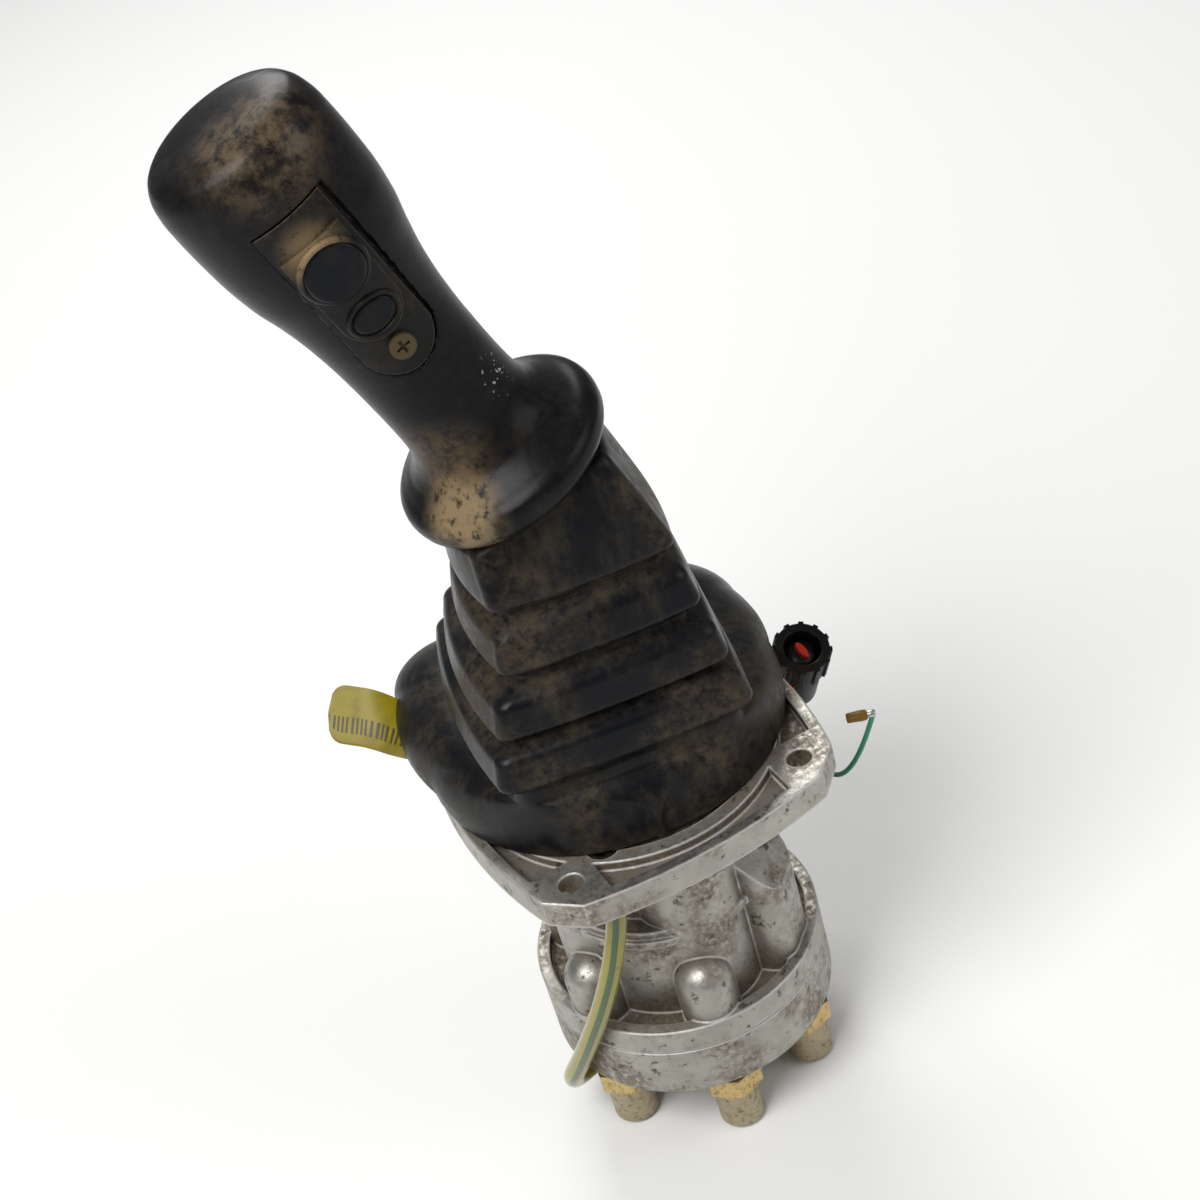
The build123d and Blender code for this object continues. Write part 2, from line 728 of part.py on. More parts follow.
# The roof lies along the skirt's lower face, just below it.
roof_gap = 0.5
roof_sides = (-29.0, 18.0, -23.5, 23.5, 4.0, 4.0)
rim_x, _, rim_z = along_grip(skirt_stations[0][0])
roof_tilt = skirt_stations[0][4]


def boot_section(level, inset):
    z, left, right, front, rear, front_radius, rear_radius = level
    left, right, front, rear = left + inset, right - inset, front + inset, rear - inset
    near = max(front_radius - inset, 1.0)
    far = max(rear_radius - inset, 1.0)
    k = math.sqrt(0.5)
    edges = Curve() + Line((left + near, front), (right - near, front))
    edges += ThreePointArc((right - near, front), (right - near + near * k, front + near - near * k), (right, front + near))
    edges += Line((right, front + near), (right, rear - far))
    edges += ThreePointArc((right, rear - far), (right - far + far * k, rear - far + far * k), (right - far, rear))
    edges += Line((right - far, rear), (left + far, rear))
    edges += ThreePointArc((left + far, rear), (left + far - far * k, rear - far + far * k), (left, rear - far))
    edges += Line((left, rear - far), (left, front + near))
    edges += ThreePointArc((left, front + near), (left + near - near * k, front + near - near * k), (left + near, front))
    return Pos(0, 0, z) * make_face(edges)


def boot_roof(drop, inset):
    turn = grip_turn - boot_turn
    height = rim_z - rim_x * math.tan(math.radians(roof_tilt)) - roof_gap - drop
    tilted = Rot(0, 0, turn) * Rot(0, -roof_tilt, 0) * Rot(0, 0, -turn)
    return Pos(0, 0, height) * tilted * boot_section((0.0,) + roof_sides, inset)


def boot():
    outer = loft([boot_section(level, 0) for level in boot_levels] + [boot_roof(0, 0)], ruled=True)
    inner_levels = [(-1.0,) + boot_levels[0][1:]] + boot_levels[1:]
    inner_faces = [boot_section(level, boot_wall) for level in inner_levels]
    inner = loft(inner_faces + [boot_roof(boot_wall, boot_wall)], ruled=True)
    hole = Rot(0, 0, grip_turn - boot_turn) * Pos(rim_x, 0, rim_z) * Cylinder(rod_radius + 2.0, 12)
    return Rot(0, 0, boot_turn) * (outer - inner - hole)


save("boot", boot())


# Harness: grommet, sheath, connector with its lock, green wire with its bullet terminal.
def route(points):
    radii = []
    for before, corner, after in zip(points, points[1:], points[2:]):
        first = math.dist(before, corner)
        second = math.dist(corner, after)
        dot = sum((b - a) * (c - b) for a, b, c in zip(before, corner, after)) / (first * second)
        half_turn = math.acos(max(-1.0, min(1.0, dot))) / 2
        radii.append(0.45 * min(first, second) / math.tan(half_turn))
    print("bend radii", [round(radius, 1) for radius in radii])
    return FilletPolyline(*points, radius=radii)


def cord(points, radius):
    path = route(points)
    return sweep(Plane(path @ 0, z_dir=path % 0) * Circle(radius), path)


def grommet():
    x, y = grommet_at
    body = rod(grommet_hole - soft_clearance, -flange_thickness - 1.6, -recess_depth + 1.6, x, y)
    head = rod(7.6, -recess_depth + soft_clearance, -recess_depth + 1.9, x, y)
    body += head & rod(ring_inner - soft_clearance, -recess_depth, 0)
    return body - rod(sheath_radius + soft_clearance, -flange_thickness - 5, 5, x, y)


sheath_end = Vector(*sheath_points[-1])
sheath_run = (sheath_end - Vector(*sheath_points[-2])).normalized()


def connector_frame(distance):
    return Plane(origin=sheath_end + sheath_run * distance, x_dir=(1, 0, 0), z_dir=sheath_run)


def connector():
    body = connector_frame(connector_length / 2) * Cylinder(connector_radius - 1.0, connector_length)
    body += connector_frame(connector_length - 5) * Cylinder(connector_radius, 10)
    body += connector_frame(3) * Cylinder(6.0, 6)
    for turn in range(0, 360, 30):
        rib = Rot(0, 0, turn) * Pos(connector_radius, 0, 0) * Box(1.6, 1.8, 10)
        body += connector_frame(connector_length - 5) * rib
    body -= connector_frame(connector_length) * Cylinder(6.6, 20)
    body -= connector_frame(connector_length - 13) * Rot(0, 0, 210) * Pos(connector_radius - 1.5, 0, 0) * Box(3.0, 6.0, 4.0)
    return body


def connector_lock():
    plane = connector_frame(connector_length - 13)
    return plane * Rot(0, 0, 210) * Pos(connector_radius - 1.4, 0, 0) * Box(2.8, 5.9, 3.9)


save("harness_grommet", grommet())
save("harness_sheath", cord(sheath_points, sheath_radius))
save("harness_connector", connector())
save("connector_lock", connector_lock())
save("green_wire", cord(wire_points, wire_radius))

wire_end = Vector(*wire_points[-1])
wire_run = (wire_end - Vector(*wire_points[-2])).normalized()


def bullet_terminal():
    crimp = Plane(origin=wire_end + wire_run * 2.3, z_dir=wire_run) * Cylinder(1.3, 4.6)
    fold = Vector(-1, 0.45, 0.1).normalized()
    start = wire_end + wire_run * 4.0
    sleeve = Plane(origin=start + fold * 5.0, z_dir=fold) * Cylinder(2.1, 9.0)
    return crimp + Plane(origin=start + fold * 0.6, z_dir=fold) * Cylinder(1.3, 2.6) + sleeve


save("bullet_terminal", bullet_terminal())

# Film tag: one folded strip held between the boot's lip and the rear left ear.
tag_length = 50.0
tag_width = 20.0
tag_thickness = 0.35


def label_tag():
    start = (-36.0, 41.0)
    angle = 127.0
    foot = Box(24, tag_width, tag_thickness, align=(Align.MIN, Align.CENTER, Align.MIN))
    rise = Box(tag_length - 24, tag_width, tag_thickness, align=(Align.MIN, Align.CENTER, Align.MIN))
    rise = Pos(24, 0, 0) * Rot(0, -12, 0) * rise
    return Pos(*start, 0.02) * Rot(0, 0, angle) * (foot + rise)


save("label_tag", label_tag())
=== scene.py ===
import bpy
import math
import numpy as np
from mathutils import Matrix, Vector


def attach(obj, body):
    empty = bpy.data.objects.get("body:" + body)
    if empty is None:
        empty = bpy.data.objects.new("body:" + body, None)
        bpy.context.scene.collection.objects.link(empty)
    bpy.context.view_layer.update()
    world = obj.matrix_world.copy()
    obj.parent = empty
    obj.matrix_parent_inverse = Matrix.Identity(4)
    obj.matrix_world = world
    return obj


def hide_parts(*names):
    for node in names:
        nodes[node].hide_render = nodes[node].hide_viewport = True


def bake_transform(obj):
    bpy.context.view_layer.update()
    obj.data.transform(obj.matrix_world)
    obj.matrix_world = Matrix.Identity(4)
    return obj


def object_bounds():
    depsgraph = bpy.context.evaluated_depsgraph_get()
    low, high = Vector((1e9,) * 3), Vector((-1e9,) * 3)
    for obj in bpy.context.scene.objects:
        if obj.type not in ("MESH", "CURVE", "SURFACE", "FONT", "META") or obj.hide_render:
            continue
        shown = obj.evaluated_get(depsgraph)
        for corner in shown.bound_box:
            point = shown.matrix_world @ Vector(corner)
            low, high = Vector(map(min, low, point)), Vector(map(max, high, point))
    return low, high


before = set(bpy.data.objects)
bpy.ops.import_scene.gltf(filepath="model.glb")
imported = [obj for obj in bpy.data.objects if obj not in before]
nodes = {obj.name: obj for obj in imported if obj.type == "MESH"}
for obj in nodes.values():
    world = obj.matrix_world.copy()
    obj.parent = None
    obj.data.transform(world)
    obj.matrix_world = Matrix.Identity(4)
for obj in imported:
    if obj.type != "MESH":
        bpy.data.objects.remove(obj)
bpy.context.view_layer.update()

# Camera: where it looks, from which side and how far, in metres and degrees.
view = {"target": (0.0030, -0.0119, 0.0707), "azimuth": -18.07, "elevation": 36.74, "roll": -16.41,
        "distance": 0.7463, "lens": 72.3, "sensor": 36.0}


def addCamera():
    azimuth, elevation, roll = (math.radians(view[k]) for k in ("azimuth", "elevation", "roll"))
    flat = math.cos(elevation)
    back = Vector((math.sin(azimuth) * flat, -math.cos(azimuth) * flat, math.sin(elevation)))
    level = (-back).cross(Vector((0, 0, 1))).normalized()
    upright = level.cross(-back)
    # The picture's own right and up are the level ones turned by the roll.
    right = level * math.cos(roll) + upright * math.sin(roll)
    up = upright * math.cos(roll) - level * math.sin(roll)
    turn = Matrix((right, up, back)).transposed().to_4x4()
    data = bpy.data.cameras.new("camera")
    data.lens = view["lens"]
    data.sensor_width = view["sensor"]
    camera = bpy.data.objects.new("camera", data)
    bpy.context.scene.collection.objects.link(camera)
    camera.matrix_world = Matrix.Translation(Vector(view["target"]) + back * view["distance"]) @ turn
    bpy.context.scene.camera = camera


addCamera()
print("camera placed")


# Small helpers for node materials.
class Paint:
    def __init__(self, name):
        self.material = bpy.data.materials.new(name)
        self.material.use_nodes = True
        self.tree = self.material.node_tree
        self.shader = self.tree.nodes["Principled BSDF"]
        self.place = self.add("ShaderNodeTexCoord").outputs["Object"]

    def add(self, kind, **values):
        node = self.tree.nodes.new(kind)
        for key, value in values.items():
            setattr(node, key, value)
        return node

    def feed(self, socket, value):
        if isinstance(value, bpy.types.NodeSocket):
            self.tree.links.new(value, socket)
        elif value is not None:
            socket.default_value = value

    def noise(self, scale, detail=6.0, rough=0.55, stretch=(1, 1, 1), shift=(0, 0, 0)):
        mapping = self.add("ShaderNodeMapping")
        self.feed(mapping.inputs["Vector"], self.place)
        mapping.inputs["Scale"].default_value = stretch
        mapping.inputs["Location"].default_value = shift
        node = self.add("ShaderNodeTexNoise")
        self.feed(node.inputs["Vector"], mapping.outputs[0])
        node.inputs["Scale"].default_value = scale
        node.inputs["Detail"].default_value = detail
        node.inputs["Roughness"].default_value = rough
        return node.outputs[0]

    def span(self, value, low, high, toLow=0.0, toHigh=1.0):
        node = self.add("ShaderNodeMapRange", interpolation_type="SMOOTHSTEP")
        self.feed(node.inputs["Value"], value)
        for key, number in zip(("From Min", "From Max", "To Min", "To Max"), (low, high, toLow, toHigh)):
            node.inputs[key].default_value = number
        return node.outputs["Result"]

    def math(self, operation, first, second=0.0):
        node = self.add("ShaderNodeMath", operation=operation)
        self.feed(node.inputs[0], first)
        self.feed(node.inputs[1], second)
        return node.outputs[0]

    def mix(self, share, first, second):
        node = self.add("ShaderNodeMix", data_type="RGBA")
        self.feed(node.inputs["Factor"], share)
        self.feed(node.inputs[6], first if isinstance(first, bpy.types.NodeSocket) else (*first, 1))
        self.feed(node.inputs[7], second if isinstance(second, bpy.types.NodeSocket) else (*second, 1))
        return node.outputs[2]

    def part(self, axis):
        node = self.add("ShaderNodeSeparateXYZ")
        self.feed(node.inputs[0], self.place)
        return node.outputs[axis]

    def bump(self, heights, strength=1.0, edge=None):
        normal = None
        if edge:
            bevel = self.add("ShaderNodeBevel", samples=6)
            bevel.inputs["Radius"].default_value = edge
            normal = bevel.outputs[0]
        for height, distance in heights:
            node = self.add("ShaderNodeBump")
            node.inputs["Strength"].default_value = strength
            node.inputs["Distance"].default_value = distance
            self.feed(node.inputs["Height"], height)
            if normal is not None:
                self.feed(node.inputs["Normal"], normal)
            normal = node.outputs[0]
        if normal is not None:
            self.feed(self.shader.inputs["Normal"], normal)

    def edges(self, radius):
        # Worn edges: where the rounded normal leaves the flat one.
        bevel = self.add("ShaderNodeBevel", samples=6)
        bevel.inputs["Radius"].default_value = radius
        dot = self.add("ShaderNodeVectorMath", operation="DOT_PRODUCT")
        self.feed(dot.inputs[0], bevel.outputs[0])
        self.feed(dot.inputs[1], self.add("ShaderNodeNewGeometry").outputs["Normal"])
        return self.span(dot.outputs["Value"], 0.995, 0.86)

    def near(self, point, radius, soft):
        # 1 near a point in the row frame, fading out over soft.
        node = self.add("ShaderNodeVectorMath", operation="DISTANCE")
        self.feed(node.inputs[0], self.place)
        node.inputs[1].default_value = point
        return self.span(node.outputs["Value"], radius + soft, radius)

    def finish(self, color, rough, metal=0.0, **others):
        plain = not isinstance(color, bpy.types.NodeSocket)
        self.feed(self.shader.inputs["Base Color"], (*color, 1) if plain else color)
        self.feed(self.shader.inputs["Roughness"], rough)
        self.feed(self.shader.inputs["Metallic"], metal)
        for key, value in others.items():
            self.feed(self.shader.inputs[key.replace("_", " ")], value)
        return self.material


# Cast aluminium: colours, how much of each shows, and the reach of hollows and worn edges in metres.
cast = {"metal": (0.42, 0.405, 0.365), "stain": (0.105, 0.072, 0.036), "grime": (0.026, 0.018, 0.010),
        "worn": (0.82, 0.81, 0.78), "stainShare": 0.82, "dirtShare": 0.85, "speckShare": 0.75,
        "wornShare": 0.7, "hollow": 0.012, "edge": 0.0016}


def castAluminium():
    p = Paint("cast aluminium")
    broad = p.noise(28, 5, 0.6)
    fine = p.noise(420, 8, 0.7)
    spots = p.noise(150, 6, 0.75, shift=(0.3, 0.1, 0.7))
    stains = p.math("MULTIPLY", p.span(broad, 0.44, 0.60), p.span(fine, 0.34, 0.58))
    specks = p.span(spots, 0.57, 0.63)
    hollow = p.add("ShaderNodeAmbientOcclusion", samples=8)
    hollow.inputs["Distance"].default_value = cast["hollow"]
    deep = p.span(hollow.outputs["AO"], 0.88, 0.42)
    dirt = p.math("MULTIPLY", deep, p.span(fine, 0.26, 0.52))
    color = p.mix(p.span(p.noise(90), 0.35, 0.65), cast["metal"], tuple(0.86 * c for c in cast["metal"]))
    color = p.mix(p.math("MULTIPLY", stains, cast["stainShare"]), color, cast["stain"])
    color = p.mix(p.math("MULTIPLY", dirt, cast["dirtShare"]), color, cast["stain"])
    color = p.mix(p.math("MULTIPLY", specks, cast["speckShare"]), color, cast["grime"])
    worn = p.edges(cast["edge"])
    color = p.mix(p.math("MULTIPLY", worn, cast["wornShare"]), color, cast["worn"])
    rough = p.math("ADD", p.span(fine, 0.3, 0.7, 0.34, 0.54), p.math("MULTIPLY", dirt, 0.3))
    p.bump([(broad, 0.0009), (p.noise(700, 4, 0.6), 0.00022)], 0.6, edge=0.0014)
    metal = p.math("SUBTRACT", 0.92, p.math("MULTIPLY", p.math("MAXIMUM", dirt, stains), 0.7))
    return p.finish(color, rough, metal)


def steel(name, tone=0.5, rough=0.3):
    p = Paint(name)
    lines = p.noise(160, 3, 0.5, stretch=(1, 1, 9))
    color = p.mix(lines, (tone * 0.8,) * 3, (tone * 1.15, tone * 1.13, tone * 1.08))
    p.bump([(lines, 0.0001)], 0.5, edge=0.0004)
    return p.finish(color, p.span(lines, 0.3, 0.7, rough, rough + 0.15), 1.0)


# Yellow zinc: the nut's two golds, the dull thread below it, the soil, and where the thread starts and its
# pitch, in metres.
zincValues = {"gold": (0.58, 0.42, 0.14), "pale": (0.66, 0.50, 0.28), "dull": (0.36, 0.33, 0.26),
              "soil": (0.12, 0.085, 0.045), "threadFrom": (-0.1245, -0.1265), "pitch": 0.0015}


def plating():
    p = Paint("yellow zinc plating")
    wide = p.noise(60, 5, 0.6)
    fine = p.noise(500, 6, 0.7)
    low = p.span(p.part("Z"), *zincValues["threadFrom"])
    color = p.mix(wide, zincValues["gold"], zincValues["pale"])
    color = p.mix(p.math("MULTIPLY", low, 0.75), color, zincValues["dull"])
    color = p.mix(p.span(fine, 0.5, 0.68, 0, 0.7), color, zincValues["soil"])
    thread = p.add("ShaderNodeMath", operation="SINE")
    # Thread: sin(2 pi z / pitch).
    p.feed(thread.inputs[0], p.math("MULTIPLY", p.part("Z"), 2 * math.pi / zincValues["pitch"]))
    cut = p.math("MULTIPLY", thread.outputs[0], p.math("MULTIPLY", low, p.span(fine, 0.35, 0.6)))
    p.bump([(cut, 0.00012), (fine, 0.0001)], 0.8, edge=0.0006)
    return p.finish(color, p.span(fine, 0.3, 0.7, 0.34, 0.55), 0.85)


# Rubber: its two blacks, the dust on it, how far hollows reach in metres, and the gloss of each kind.
skin = {"base": (0.0036, 0.0042, 0.0062), "gripBase": (0.0024, 0.0029, 0.0046),
        "plateBase": (0.0042, 0.0042, 0.0050),
        "dust": (0.080, 0.060, 0.034), "hollow": 0.015, "film": 0.60, "streak": 0.34, "deep": 0.22,
        "bootGloss": 0.17, "gripGloss": 0.14, "plasticGloss": 0.16}


def rubber(name, base=skin["base"], amount=1.0):
    p = Paint(name)
    broad = p.noise(24, 6, 0.62)
    fine = p.noise(330, 8, 0.72)
    streak = p.noise(60, 6, 0.7, stretch=(1, 1, 0.35), shift=(0.2, 0.5, 0.1))
    hollow = p.add("ShaderNodeAmbientOcclusion", samples=8)
    hollow.inputs["Distance"].default_value = skin["hollow"]
    deep = p.span(hollow.outputs["AO"], 0.85, 0.40)
    film = p.math("MULTIPLY", p.span(broad, 0.40, 0.68), p.span(fine, 0.32, 0.62))
    film = p.math("MULTIPLY", film, skin["film"] * amount)
    film = p.math("ADD", film, p.math("MULTIPLY", p.span(streak, 0.5, 0.72), skin["streak"] * amount))
    sunk = p.math("MULTIPLY", deep, p.span(fine, 0.35, 0.6))
    film = p.math("ADD", film, p.math("MULTIPLY", sunk, skin["deep"] * amount))
    color = p.mix(p.math("MINIMUM", film, 0.85), base, skin["dust"])
    rough = p.math("ADD", 0.30, p.math("MULTIPLY", film, 0.55))
    p.bump([(broad, 0.0006), (fine, 0.00010)], 0.5, edge=0.0006)
    return p, color, rough


def bootRubber():
    p, color, rough = rubber("boot rubber")
    return p.finish(color, rough, Specular_IOR_Level=skin["bootGloss"])


def plainRubber():
    p, color, rough = rubber("seal rubber", amount=0.3)
    return p.finish(color, rough)


# Dirt on the grip: where it lies, its full and fading reach, all in metres, and its colour.
gripDirt = {"head": ((-0.0515, -0.013, 0.2575), 0.008, 0.017, (0.125, 0.090, 0.055)),
            "brown": ((-0.031, -0.012, 0.142), 0.006, 0.014, (0.085, 0.058, 0.030)),
            "tan": ((-0.033, -0.0195, 0.1275), 0.005, 0.013, (0.25, 0.18, 0.10)),
            "flecks": ((-0.0082, -0.0133, 0.1622), 0.003, 0.006, (0.38, 0.45, 0.48)),
            "plate": ((-0.0500, -0.0265, 0.2255), 0.004, 0.009, (0.24, 0.165, 0.085))}


def gripPlastic():
    p, color, rough = rubber("grip rubber", base=skin["gripBase"], amount=0.22)
    fine = p.noise(260, 8, 0.75, shift=(0.7, 0.2, 0.4))
    wide = p.noise(70, 5, 0.6, shift=(0.1, 0.8, 0.4))
    head = p.math("MULTIPLY", p.near(*gripDirt["head"][:3]), p.span(wide, 0.36, 0.54))
    head = p.math("MULTIPLY", head, p.span(fine, 0.33, 0.60))
    color = p.mix(p.math("MULTIPLY", head, 0.8), color, gripDirt["head"][3])
    tan = p.math("MULTIPLY", p.near(*gripDirt["tan"][:3]), p.span(wide, 0.30, 0.50))
    brown = p.math("MULTIPLY", p.near(*gripDirt["brown"][:3]), p.span(fine, 0.30, 0.62))
    color = p.mix(p.math("MULTIPLY", brown, 0.7), color, gripDirt["brown"][3])
    tan = p.math("MULTIPLY", tan, p.span(fine, 0.34, 0.52))
    color = p.mix(p.math("MULTIPLY", tan, 0.9), color, gripDirt["tan"][3])
    flecks = p.math("MULTIPLY", p.near(*gripDirt["flecks"][:3]), p.span(p.noise(700, 2, 0.5), 0.63, 0.67))
    color = p.mix(flecks, color, gripDirt["flecks"][3])
    return p.finish(color, rough, Specular_IOR_Level=skin["gripGloss"])


def plasticTint(name, base, rough=0.35, dust=0.25):
    p, color, _ = rubber(name, base=base, amount=dust)
    return p.finish(color, rough, Specular_IOR_Level=skin["plasticGloss"])


def plateFinish(name, extra):
    p, color, rough = rubber(name, base=skin["plateBase"], amount=0.4)
    fine = p.noise(420, 8, 0.75, shift=(0.4, 0.9, 0.2))
    # Tan dust lies on the upper left of the round button and along the plate's head.
    ring = p.math("MULTIPLY", p.near(*gripDirt["plate"][:3]), p.span(fine, 0.30, 0.50))
    color = p.mix(p.math("MULTIPLY", ring, 0.75 + extra * 0.5), color, gripDirt["plate"][3])
    worn = p.math("MULTIPLY", p.edges(0.0008), p.span(fine, 0.35, 0.55))
    color = p.mix(p.math("MULTIPLY", worn, 0.55), color, (0.15, 0.11, 0.065))
    return p.finish(color, rough, Specular_IOR_Level=skin["plasticGloss"])


# Vinyl sheath: its yellows, its two stripes and the soil.
vinyl = {"yellow": (0.235, 0.200, 0.022), "pale": (0.30, 0.26, 0.040), "green": (0.020, 0.075, 0.022),
         "dark": (0.03, 0.028, 0.015), "soil": (0.12, 0.09, 0.03)}


def sheathVinyl():
    p = Paint("yellow vinyl sheath")
    around = p.add("ShaderNodeSeparateXYZ")
    p.feed(around.inputs[0], p.add("ShaderNodeTexCoord").outputs["UV"])
    turn = around.outputs["Y"]
    wave = p.noise(14, 2, 0.5)
    # The stripes wander a little: share of a turn + (noise - 0.5) / 10.
    place = p.math("ADD", turn, p.math("MULTIPLY", p.math("SUBTRACT", wave, 0.5), 0.10))
    green = p.math("MULTIPLY", p.span(place, 0.13, 0.15), p.span(place, 0.25, 0.23))
    dark = p.math("MULTIPLY", p.span(place, 0.46, 0.50), p.span(place, 0.64, 0.60))
    color = p.mix(p.noise(120), vinyl["yellow"], vinyl["pale"])
    color = p.mix(p.math("MULTIPLY", green, 0.92), color, vinyl["green"])
    color = p.mix(p.math("MULTIPLY", dark, 0.85), color, vinyl["dark"])
    color = p.mix(p.span(p.noise(300, 8, 0.7), 0.52, 0.7, 0, 0.55), color, vinyl["soil"])
    p.bump([(wave, 0.0004)], 0.5)
    return p.finish(color, 0.22, Coat_Weight=0.6, Coat_Roughness=0.12)


# Film tag: its colours, soil being the painted shade along its folded top edge, and the box of bars as shares
# of its length and width.
film = {"yellow": (0.27, 0.215, 0.004), "shade": (0.17, 0.125, 0.006), "ink": (0.05, 0.04, 0.02),
        "soil": (0.20, 0.14, 0.02), "barsFrom": 0.40, "barsLow": 0.50, "barsHigh": 0.80}


def filmTag():
    p = Paint("yellow film")
    shade = p.noise(70, 6, 0.65)
    color = p.mix(p.span(shade, 0.45, 0.7), film["yellow"], film["shade"])
    pos = p.add("ShaderNodeSeparateXYZ")
    p.feed(pos.inputs[0], p.add("ShaderNodeUVMap").outputs[0])
    # Plain bars of uneven width near the tag's inner end.
    stripe = p.add("ShaderNodeTexWave", wave_type="BANDS", bands_direction="X")
    stripe.inputs["Scale"].default_value = 9.0
    stripe.inputs["Distortion"].default_value = 5.0
    stripe.inputs["Detail"].default_value = 1.0
    line = p.add("ShaderNodeCombineXYZ")
    p.feed(line.inputs[0], pos.outputs["X"])
    p.feed(stripe.inputs["Vector"], line.outputs[0])
    low = p.span(pos.outputs["Y"], film["barsLow"], film["barsLow"] + 0.01)
    high = p.span(pos.outputs["Y"], film["barsHigh"], film["barsHigh"] - 0.01)
    box = p.math("MULTIPLY", low, high)
    box = p.math("MULTIPLY", box, p.span(pos.outputs["X"], film["barsFrom"], film["barsFrom"] + 0.005))
    ink = p.math("MULTIPLY", p.math("GREATER_THAN", stripe.outputs[1], 0.5), box)
    color = p.mix(p.math("MULTIPLY", ink, 0.9), color, film["ink"])
    # Painted shade: a darker brown strip along the tag's top edge stands in for the shade inside its fold.
    color = p.mix(p.span(pos.outputs["Y"], 0.82, 0.98, 0, 0.55), color, film["soil"])
    return p.finish(color, 0.4, Specular_IOR_Level=0.3)


# Each tint: its colour, roughness and dust.
tints = {"rusty screw": ((0.070, 0.050, 0.024), 0.4, 0.9),
         "button plastic": ((0.0034, 0.0044, 0.0075), 0.38, 0.3),
         "connector plastic": ((0.0045, 0.0045, 0.0050), 0.3, 0.25),
         "lock plastic": ((0.42, 0.025, 0.012), 0.35, 0.1),
         "green wire skin": ((0.06, 0.28, 0.17), 0.35, 0.15),
         "terminal sleeve": ((0.20, 0.11, 0.015), 0.3, 0.5)}
castMetal, zinc, blackRubber = castAluminium(), plating(), plainRubber()
brightSteel, darkSteel = steel("ground steel", 0.52), steel("black oxide steel", 0.06, 0.4)
gripBlack, bootBlack = gripPlastic(), bootRubber()
plateBlack, padDust = plateFinish("switch plate plastic", 0.0), plateFinish("collar rubber", 0.35)
rustyScrew, buttonBlack, connectorBlack, lockRed, greenSkin, sleeveBrown = (
    plasticTint(name, *values) for name, values in tints.items())
bronze = steel("bush bronze", 0.45)
sheathSkin, tagFilm = sheathVinyl(), filmTag()
print("materials made")

# What each CAD node is made of; any other is ground steel.
finishes = {
    "casing": castMetal, "port_plate": castMetal, "port_adapters": zinc, "plate_screw": rustyScrew,
    "port_plate_bolts": darkSteel, "grip_screws": darkSteel, "switches": darkSteel,
    "port_gasket": blackRubber, "adapter_seals": blackRubber, "bush_seals": blackRubber,
    "wiper_seals": blackRubber, "harness_grommet": blackRubber, "boot": bootBlack,
    "grip_body": gripBlack, "grip_back": gripBlack, "switch_plate": plateBlack, "button_pad": plateBlack,
    "round_button": buttonBlack, "oval_button": buttonBlack, "harness_connector": connectorBlack,
    "connector_lock": lockRed, "harness_sheath": sheathSkin, "green_wire": greenSkin,
    "bullet_terminal": sleeveBrown, "label_tag": tagFilm, "pusher_bushes": bronze}


def shadeSmooth(mesh, angle=35):
    bpy.context.view_layer.objects.active = mesh
    mesh.select_set(True)
    bpy.ops.object.shade_smooth_by_angle(angle=math.radians(angle))
    mesh.select_set(False)


for name, node in nodes.items():
    node.data.materials.clear()
    node.data.materials.append(finishes.get(name, brightSteel))
    shadeSmooth(node)
print("CAD nodes finished")

# Cords: the same routes as the model's, in metres.
sheath = {"radius": 0.0035, "points": [
    (-0.027, -0.035, -0.006), (-0.0272, -0.0353, -0.024), (-0.0385, -0.0385, -0.050),
    (-0.050, -0.026, -0.086), (-0.059, -0.004, -0.125), (-0.016, 0.013, -0.128), (0.024, 0.026, -0.127),
    (0.057, 0.045, -0.107), (0.069, 0.037, -0.064), (0.0715, 0.017, -0.025)]}
wire = {"radius": 0.0009, "points": [
    (0.06935, 0.02327, -0.04588), (0.0677, 0.002, -0.0565), (0.0741, -0.0144, -0.0461),
    (0.0845, -0.0150, -0.0250)]}


def addCord(name, values, material):
    data = bpy.data.curves.new(name, "CURVE")
    data.dimensions = "3D"
    data.bevel_depth = values["radius"]
    data.bevel_resolution = 8
    data.resolution_u = 24
    data.use_fill_caps = True
    spline = data.splines.new("NURBS")
    spline.points.add(len(values["points"]) - 1)
    for point, place in zip(spline.points, values["points"]):
        point.co = (*place, 1)
    spline.order_u = 3
    spline.use_endpoint_u = True
    data.materials.append(material)
    curve = bpy.data.objects.new(name, data)
    bpy.context.scene.collection.objects.link(curve)
    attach(curve, "valve_body")
    return curve


def cordLength(curve):
    mesh = curve.data.copy()
    mesh.bevel_depth = 0
    probe = bpy.data.objects.new("probe", mesh)
    bpy.context.scene.collection.objects.link(probe)
    line = probe.to_mesh()
    points = np.array([v.co for v in line.vertices])
    total = float(np.linalg.norm(np.diff(points, axis=0), axis=1).sum())
    probe.to_mesh_clear()
    bpy.data.objects.remove(probe)
    return total


sheathCurve = addCord("sheath_curve", sheath, sheathSkin)
wireCurve = addCord("green_wire_curve", wire, greenSkin)
sheathLength, wireLength = cordLength(sheathCurve), cordLength(wireCurve)
print("cord lengths", round(sheathLength, 4), round(wireLength, 4))
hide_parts("harness_sheath")
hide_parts("green_wire")


